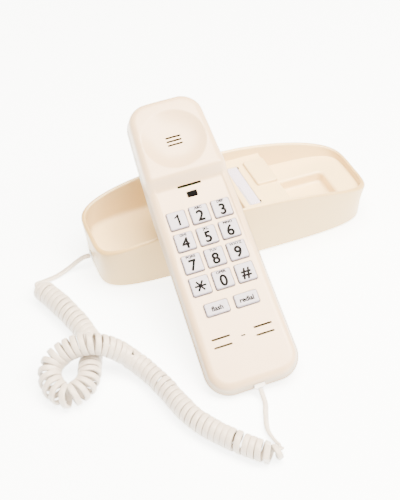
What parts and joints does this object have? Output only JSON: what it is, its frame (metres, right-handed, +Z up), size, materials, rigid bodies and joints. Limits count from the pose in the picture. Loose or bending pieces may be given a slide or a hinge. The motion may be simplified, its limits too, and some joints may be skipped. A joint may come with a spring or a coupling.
{
  "type": "slimline wall phone",
  "caption": "Slimline telephone: boat-shaped base with a number card, handset with keypad in its face lying across it, curly cord in a loop.",
  "frame": {"origin": "on the table under the middle of the base", "axes": "+X along the base towards its ear end, +Y away from the user, +Z up; the handset lies across the base with its mouth end towards -Y"},
  "size_m": [0.2894, 0.2516, 0.1167],
  "materials": {
    "cream_plastic": "smooth moulded cream plastic, satin gloss",
    "key_plastic": "glossy grey-white plastic with printed numerals",
    "black_plastic": "black moulded plastic",
    "clear_plastic": "clear polycarbonate",
    "card": "white card",
    "rubber": "moulded rubber",
    "steel": "zinc plated steel",
    "circuit_board": "green solder mask",
    "foam": "black foam",
    "cord_vinyl": "flexible vinyl, satin"
  },
  "bodies": {
    "base": {"base_housing": "cream_plastic", "base_bottom_cover": "cream_plastic", "handset_cord_jack": "black_plastic", "line_jack": "black_plastic", "ringer_sounder": "black_plastic", "ringer_switch_body": "black_plastic", "number_card_window": "clear_plastic", "base_cord_plug": "clear_plastic", "number_card": "card", "foot_1": "rubber", "foot_2": "rubber", "foot_3": "rubber", "foot_4": "rubber", "base_screw_1": "steel", "base_screw_2": "steel", "base_screw_3": "steel", "base_screw_4": "steel", "base_weight": "steel", "ringer_board": "circuit_board", "cord_tail_base": "cord_vinyl", "cord_coil": "cord_vinyl", "cord_tail_handset": "cord_vinyl"},
    "handset": {"handset_front_shell": "cream_plastic", "handset_rear_shell": "cream_plastic", "handset_screw_1": "steel", "handset_screw_2": "steel", "keypad_mat": "rubber", "circuit_board": "circuit_board", "hook_switch": "black_plastic", "receiver_gasket": "foam", "receiver": "black_plastic", "microphone_boot": "rubber", "microphone": "steel", "handset_weight": "steel", "handset_jack": "black_plastic", "handset_cord_plug": "clear_plastic"},
    "key_1": {"key_1": "key_plastic"},
    "key_2": {"key_2": "key_plastic"},
    "key_3": {"key_3": "key_plastic"},
    "key_4": {"key_4": "key_plastic"},
    "key_5": {"key_5": "key_plastic"},
    "key_6": {"key_6": "key_plastic"},
    "key_7": {"key_7": "key_plastic"},
    "key_8": {"key_8": "key_plastic"},
    "key_9": {"key_9": "key_plastic"},
    "key_star": {"key_star": "key_plastic"},
    "key_0": {"key_0": "key_plastic"},
    "key_hash": {"key_hash": "key_plastic"},
    "key_flash": {"key_flash": "key_plastic"},
    "key_redial": {"key_redial": "key_plastic"},
    "hook_plunger": {"hook_plunger": "black_plastic"},
    "ringer_knob": {"ringer_switch_knob": "black_plastic"}
  },
  "joints": [
    {"name": "handset_lift", "type": "slide", "parent": "base", "child": "handset", "axis": [0, 0, 1], "range_m": [0, 0.08]},
    {"name": "key_1_press", "type": "slide", "parent": "handset", "child": "key_1", "axis": [0.1123, 0.4513, -0.8853], "range_m": [0, 0.0012], "stiffness_N_per_m": 500, "springref_m": -0.0006},
    {"name": "key_2_press", "type": "slide", "parent": "handset", "child": "key_2", "axis": [0.1123, 0.4513, -0.8853], "range_m": [0, 0.0012], "stiffness_N_per_m": 500, "springref_m": -0.0006},
    {"name": "key_3_press", "type": "slide", "parent": "handset", "child": "key_3", "axis": [0.1123, 0.4513, -0.8853], "range_m": [0, 0.0012], "stiffness_N_per_m": 500, "springref_m": -0.0006},
    {"name": "key_4_press", "type": "slide", "parent": "handset", "child": "key_4", "axis": [0.1123, 0.4513, -0.8853], "range_m": [0, 0.0012], "stiffness_N_per_m": 500, "springref_m": -0.0006},
    {"name": "key_5_press", "type": "slide", "parent": "handset", "child": "key_5", "axis": [0.1123, 0.4513, -0.8853], "range_m": [0, 0.0012], "stiffness_N_per_m": 500, "springref_m": -0.0006},
    {"name": "key_6_press", "type": "slide", "parent": "handset", "child": "key_6", "axis": [0.1123, 0.4513, -0.8853], "range_m": [0, 0.0012], "stiffness_N_per_m": 500, "springref_m": -0.0006},
    {"name": "key_7_press", "type": "slide", "parent": "handset", "child": "key_7", "axis": [0.1123, 0.4513, -0.8853], "range_m": [0, 0.0012], "stiffness_N_per_m": 500, "springref_m": -0.0006},
    {"name": "key_8_press", "type": "slide", "parent": "handset", "child": "key_8", "axis": [0.1123, 0.4513, -0.8853], "range_m": [0, 0.0012], "stiffness_N_per_m": 500, "springref_m": -0.0006},
    {"name": "key_9_press", "type": "slide", "parent": "handset", "child": "key_9", "axis": [0.1123, 0.4513, -0.8853], "range_m": [0, 0.0012], "stiffness_N_per_m": 500, "springref_m": -0.0006},
    {"name": "key_star_press", "type": "slide", "parent": "handset", "child": "key_star", "axis": [0.1123, 0.4513, -0.8853], "range_m": [0, 0.0012], "stiffness_N_per_m": 500, "springref_m": -0.0006},
    {"name": "key_0_press", "type": "slide", "parent": "handset", "child": "key_0", "axis": [0.1123, 0.4513, -0.8853], "range_m": [0, 0.0012], "stiffness_N_per_m": 500, "springref_m": -0.0006},
    {"name": "key_hash_press", "type": "slide", "parent": "handset", "child": "key_hash", "axis": [0.1123, 0.4513, -0.8853], "range_m": [0, 0.0012], "stiffness_N_per_m": 500, "springref_m": -0.0006},
    {"name": "key_flash_press", "type": "slide", "parent": "handset", "child": "key_flash", "axis": [0.1123, 0.4513, -0.8853], "range_m": [0, 0.0012], "stiffness_N_per_m": 500, "springref_m": -0.0006},
    {"name": "key_redial_press", "type": "slide", "parent": "handset", "child": "key_redial", "axis": [0.1123, 0.4513, -0.8853], "range_m": [0, 0.0012], "stiffness_N_per_m": 500, "springref_m": -0.0006},
    {"name": "hook_plunger_press", "type": "slide", "parent": "handset", "child": "hook_plunger", "axis": [0.1123, 0.4513, -0.8853], "range_m": [0, 0.002], "stiffness_N_per_m": 200, "springref_m": -0.001},
    {"name": "ringer_switch_slide", "type": "slide", "parent": "base", "child": "ringer_knob", "axis": [1, 0, 0], "range_m": [-0.004, 0.004]}
  ]
}
